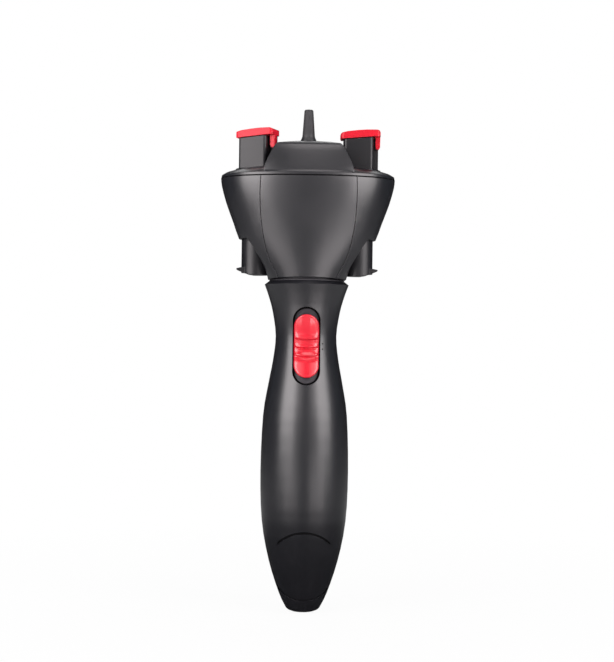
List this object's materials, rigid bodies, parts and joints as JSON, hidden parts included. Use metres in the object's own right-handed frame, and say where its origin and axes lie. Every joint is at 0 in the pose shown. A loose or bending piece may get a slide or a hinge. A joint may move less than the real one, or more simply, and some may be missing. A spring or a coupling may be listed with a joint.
{
  "type": "automatic hair braider",
  "caption": "Handheld electric braider: a tapered grip with a slide switch, a turning head, and twisting towers with red hooks that lift by finger levers.",
  "frame": {"origin": "middle of the tail's end face, on the axis that handle and head share", "axes": "+Z along the handle towards the head and its spike, +X towards the right tower as the switch is seen, -Y out of the switch side"},
  "size_m": [0.0744, 0.046, 0.215],
  "materials": {
    "body_black": "satin gloss",
    "inner_black": "matt",
    "red_gloss": "gloss",
    "steel": "satin",
    "gear_cream": "satin",
    "cell_wrap": "gloss",
    "board_green": "matt"
  },
  "bodies": {
    "handle": {"handle_front_shell": "body_black", "handle_rear_shell": "body_black", "neck_bush": "inner_black", "switch_track": "inner_black", "switch_body": "inner_black", "circuit_board": "board_green", "motor_can": "steel", "motor_end_cap": "gear_cream", "gearbox": "gear_cream", "battery_tray": "inner_black", "battery_left": "cell_wrap", "battery_right": "cell_wrap", "contact_lower": "steel", "contact_upper": "steel", "battery_spring_lower": "steel", "battery_spring_upper": "steel", "case_screws": "steel"},
    "battery_door": {"battery_cover": "body_black"},
    "switch": {"switch_knob": "red_gloss"},
    "head": {"head_centre_shell": "body_black", "wing_shell_left": "body_black", "wing_shell_right": "body_black", "head_base": "inner_black", "hub_clip": "steel", "one_way_bearing": "steel", "gear_plate_lower": "gear_cream", "gear_plate_upper": "gear_cream", "head_screws": "steel", "head_top_cover": "body_black"},
    "drive": {"drive_shaft": "steel", "sun_gear": "gear_cream"},
    "twister_left": {"tower_left": "body_black", "spindle_gear_left": "gear_cream"},
    "twister_right": {"tower_right": "body_black", "spindle_gear_right": "gear_cream"},
    "hook_body_left": {"hook_left": "red_gloss", "hook_rod_left": "steel", "hook_spring_left": "steel"},
    "hook_body_right": {"hook_right": "red_gloss", "hook_rod_right": "steel", "hook_spring_right": "steel"},
    "lever_left": {"lift_lever_left": "body_black"},
    "lever_right": {"lift_lever_right": "body_black"}
  },
  "joints": [
    {"name": "head_turn", "type": "hinge", "parent": "handle", "child": "head", "pos_m": [0, 0, 0.142], "axis": [0, 0, 1], "continuous": true},
    {"name": "drive_turn", "type": "hinge", "parent": "head", "child": "drive", "pos_m": [0, 0, 0.15], "axis": [0, 0, 1], "continuous": true},
    {"name": "switch_slide", "type": "slide", "parent": "handle", "child": "switch", "axis": [0, 0, 1], "range_m": [-0.003, 0.003]},
    {"name": "battery_cover_off", "type": "slide", "parent": "handle", "child": "battery_door", "axis": [0, 1, 0], "range_m": [0, 0.03]},
    {"name": "tower_turn_left", "type": "hinge", "parent": "head", "child": "twister_left", "pos_m": [-0.022, 0, 0.18], "axis": [0, 0, 1], "continuous": true},
    {"name": "lever_lift_left", "type": "slide", "parent": "head", "child": "lever_left", "axis": [0, 0, 1], "range_m": [0, 0.0065], "stiffness_N_per_m": 150, "springref_m": -0.003},
    {"name": "hook_lift_left", "type": "slide", "parent": "twister_left", "child": "hook_body_left", "axis": [0, 0, 1], "range_m": [0, 0.0065], "deforming": ["hook_spring_left"]},
    {"name": "tower_turn_right", "type": "hinge", "parent": "head", "child": "twister_right", "pos_m": [0.022, 0, 0.18], "axis": [0, 0, 1], "continuous": true},
    {"name": "lever_lift_right", "type": "slide", "parent": "head", "child": "lever_right", "axis": [0, 0, 1], "range_m": [0, 0.0065], "stiffness_N_per_m": 150, "springref_m": -0.003},
    {"name": "hook_lift_right", "type": "slide", "parent": "twister_right", "child": "hook_body_right", "axis": [0, 0, 1], "range_m": [0, 0.0065], "deforming": ["hook_spring_right"]}
  ],
  "couplings": [
    {"joint": "tower_turn_left", "follows": "drive_turn", "ratio": -1.2},
    {"joint": "hook_lift_left", "follows": "lever_lift_left", "ratio": 1},
    {"joint": "tower_turn_right", "follows": "drive_turn", "ratio": -1.2},
    {"joint": "hook_lift_right", "follows": "lever_lift_right", "ratio": 1}
  ]
}
